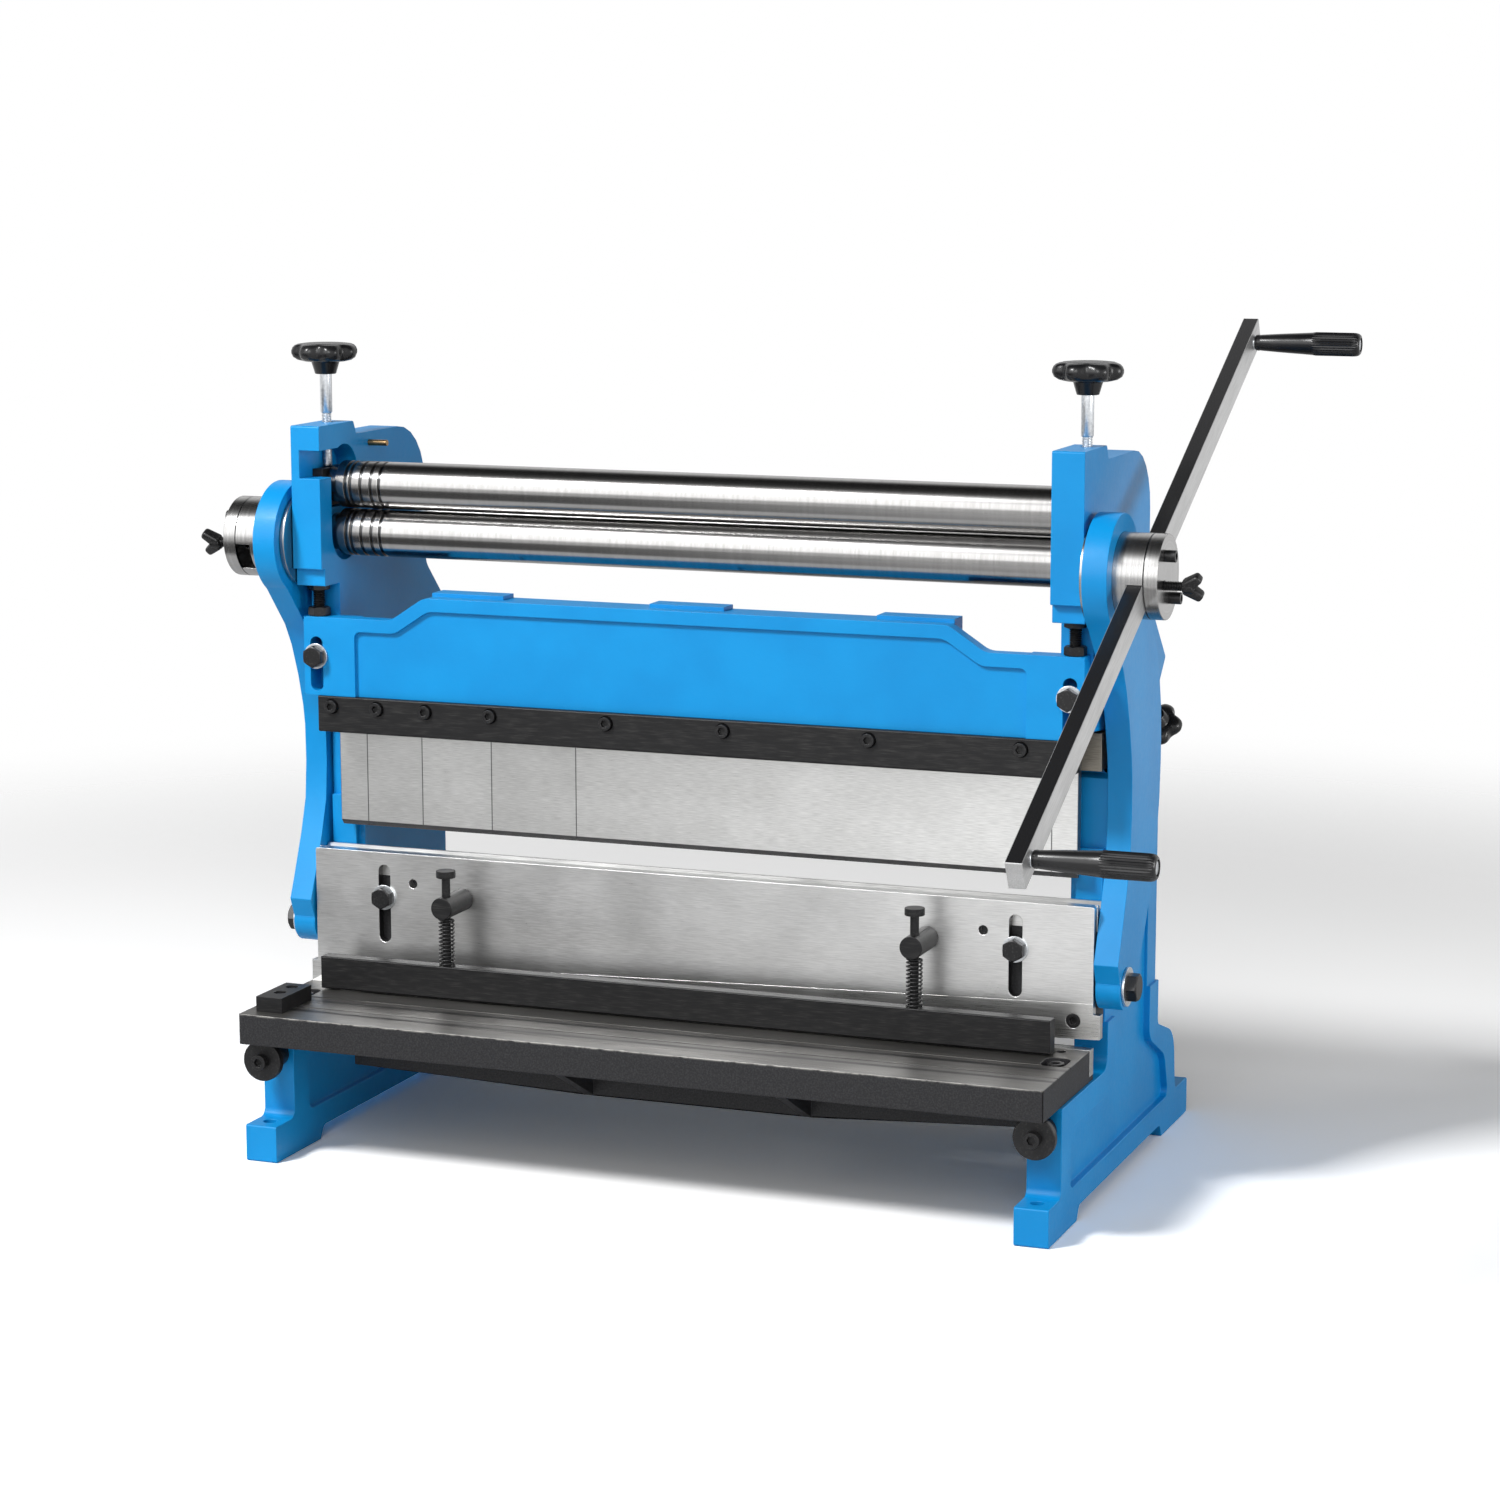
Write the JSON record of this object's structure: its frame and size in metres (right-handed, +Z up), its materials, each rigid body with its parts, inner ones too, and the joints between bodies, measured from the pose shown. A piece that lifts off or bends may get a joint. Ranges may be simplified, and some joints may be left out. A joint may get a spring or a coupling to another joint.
{
  "type": "slip roll machine",
  "caption": "Bench sheet metal machine with slip rolls on top, a press brake with fingers below and a shear on the table, worked by one crank.",
  "frame": {"origin": "floor level, midway between the four foot bolt holes", "axes": "+X along the rolls towards the crank side, +Y from the front to the back, +Z up"},
  "size_m": [1.0666, 0.7968, 0.8027],
  "materials": {
    "blue_paint": "gloss",
    "black_satin": "satin",
    "bright_steel": "brushed",
    "ground_steel": "ground",
    "polished_steel": "polished",
    "raw_steel": "raw",
    "dark_steel": "satin",
    "black_oxide": "black oxide",
    "zinc": "zinc plated",
    "bronze": "machined",
    "black_plastic": "gloss"
  },
  "bodies": {
    "frame": {"left_frame": "blue_paint", "right_frame": "blue_paint", "table": "black_satin", "bed_blade": "bright_steel", "table_screws": "black_oxide", "level_discs": "dark_steel", "side_fence": "black_satin", "upper_beam": "blue_paint", "beam_bolts": "black_oxide", "beam_washers": "zinc", "jack_bolts": "black_oxide", "finger_clamp_bar": "dark_steel", "clamp_screws": "black_oxide", "finger_1": "ground_steel", "finger_2": "ground_steel", "finger_3": "ground_steel", "finger_4": "ground_steel", "finger_5": "ground_steel", "finger_6": "ground_steel", "finger_backing_bar": "raw_steel", "rear_tie_bar": "black_satin", "roll_bushes": "bronze", "stop_pins": "bronze", "wear_strips": "raw_steel"},
    "press_beam": {"press_beam": "black_satin", "vee_die": "bright_steel", "front_plate": "bright_steel", "plate_bolts": "black_oxide", "press_washers": "zinc", "shear_blade": "bright_steel", "blade_screws": "black_oxide", "hold_down_bosses": "dark_steel", "rod_bolts": "black_oxide"},
    "hold_down": {"hold_down_bar": "dark_steel", "hold_down_bolts": "black_oxide", "hold_down_springs": "black_oxide"},
    "crank_set": {"left_hub": "polished_steel", "right_hub": "polished_steel", "hub_caps": "polished_steel", "cap_screws": "black_oxide", "crank_bar": "dark_steel", "handle_studs": "zinc"},
    "left_rod": {"left_rod": "blue_paint"},
    "right_rod": {"right_rod": "blue_paint"},
    "upper_grip": {"upper_grip": "black_plastic"},
    "lower_grip": {"lower_grip": "black_plastic"},
    "left_lock_screw": {"left_lock_screw": "black_oxide"},
    "right_lock_screw": {"right_lock_screw": "black_oxide"},
    "lower_roll": {"lower_roll": "polished_steel", "lower_gear": "dark_steel"},
    "roll_blocks": {"roll_blocks": "dark_steel"},
    "upper_roll": {"upper_roll": "polished_steel", "upper_gear": "dark_steel"},
    "left_pinch_knob": {"left_pinch_knob": "black_plastic"},
    "right_pinch_knob": {"right_pinch_knob": "black_plastic"},
    "rear_blocks": {"rear_blocks": "dark_steel"},
    "rear_roll": {"rear_roll": "polished_steel"},
    "left_rear_knob": {"left_rear_knob": "black_plastic"},
    "right_rear_knob": {"right_rear_knob": "black_plastic"}
  },
  "joints": [
    {"name": "crank_turn", "type": "hinge", "parent": "frame", "child": "crank_set", "pos_m": [0, -0.0865, 0.5984], "axis": [-1, 0, 0], "range_deg": [-31, 52]},
    {"name": "press_slide", "type": "slide", "parent": "frame", "child": "press_beam", "axis": [0, 0, 1], "range_m": [-0.012, 0.02]},
    {"name": "hold_down_slide", "type": "slide", "parent": "press_beam", "child": "hold_down", "axis": [0, 0, 1], "range_m": [-0.0178, 0.0107], "deforming": ["hold_down_springs"]},
    {"name": "left_rod_swing", "type": "hinge", "parent": "crank_set", "child": "left_rod", "pos_m": [-0.415, -0.1095, 0.59267], "axis": [-1, 0, 0], "range_deg": [-53, 32]},
    {"name": "right_rod_swing", "type": "hinge", "parent": "crank_set", "child": "right_rod", "pos_m": [0.415, -0.1095, 0.59267], "axis": [-1, 0, 0], "range_deg": [-53, 32]},
    {"name": "upper_grip_spin", "type": "hinge", "parent": "crank_set", "child": "upper_grip", "pos_m": [0.5, 0.26182, 0.78023], "axis": [1, 0, 0], "continuous": true},
    {"name": "lower_grip_spin", "type": "hinge", "parent": "crank_set", "child": "lower_grip", "pos_m": [0.5, -0.48081, 0.4051], "axis": [1, 0, 0], "continuous": true},
    {"name": "left_lock_turn", "type": "hinge", "parent": "crank_set", "child": "left_lock_screw", "pos_m": [-0.47, -0.12199, 0.58635], "axis": [-1, 0, 0], "range_deg": [0, 720]},
    {"name": "right_lock_turn", "type": "hinge", "parent": "crank_set", "child": "right_lock_screw", "pos_m": [0.47, -0.12199, 0.58635], "axis": [1, 0, 0], "range_deg": [0, 720]},
    {"name": "lower_roll_turn", "type": "hinge", "parent": "frame", "child": "lower_roll", "pos_m": [0, -0.0865, 0.5984], "axis": [1, 0, 0], "continuous": true},
    {"name": "upper_roll_lift", "type": "slide", "parent": "frame", "child": "roll_blocks", "axis": [0, 0, 1], "range_m": [-0.0005, 0.004]},
    {"name": "upper_roll_turn", "type": "hinge", "parent": "roll_blocks", "child": "upper_roll", "pos_m": [0, -0.0865, 0.6452], "axis": [1, 0, 0], "continuous": true},
    {"name": "left_pinch_turn", "type": "hinge", "parent": "roll_blocks", "child": "left_pinch_knob", "pos_m": [-0.384, -0.0865, 0.72], "axis": [0, 0, 1], "range_deg": [-121, 961]},
    {"name": "right_pinch_turn", "type": "hinge", "parent": "roll_blocks", "child": "right_pinch_knob", "pos_m": [0.384, -0.0865, 0.72], "axis": [0, 0, 1], "range_deg": [-121, 961]},
    {"name": "rear_roll_lift", "type": "slide", "parent": "frame", "child": "rear_blocks", "axis": [0, -0.7071, 0.7071], "range_m": [0, 0.045]},
    {"name": "rear_roll_turn", "type": "hinge", "parent": "rear_blocks", "child": "rear_roll", "pos_m": [0, 0.015, 0.6], "axis": [1, 0, 0], "continuous": true},
    {"name": "left_rear_turn", "type": "hinge", "parent": "rear_blocks", "child": "left_rear_knob", "pos_m": [-0.378, 0.115, 0.5], "axis": [0, -0.7071, 0.7071], "range_deg": [-1, 8105]},
    {"name": "right_rear_turn", "type": "hinge", "parent": "rear_blocks", "child": "right_rear_knob", "pos_m": [0.378, 0.115, 0.5], "axis": [0, -0.7071, 0.7071], "range_deg": [-1, 8105]}
  ],
  "couplings": [
    {"joint": "press_slide", "follows": "crank_turn", "m_per_rad": 0.022},
    {"joint": "hold_down_slide", "follows": "crank_turn", "m_per_rad": -0.0195},
    {"joint": "left_rod_swing", "follows": "crank_turn", "ratio": -1},
    {"joint": "right_rod_swing", "follows": "crank_turn", "ratio": -1},
    {"joint": "upper_roll_turn", "follows": "lower_roll_turn", "ratio": -1},
    {"joint": "left_pinch_turn", "follows": "upper_roll_lift", "rad_per_m": 4188.8},
    {"joint": "right_pinch_turn", "follows": "upper_roll_lift", "rad_per_m": 4188.8},
    {"joint": "left_rear_turn", "follows": "rear_roll_lift", "rad_per_m": 3141.6},
    {"joint": "right_rear_turn", "follows": "rear_roll_lift", "rad_per_m": 3141.6}
  ]
}
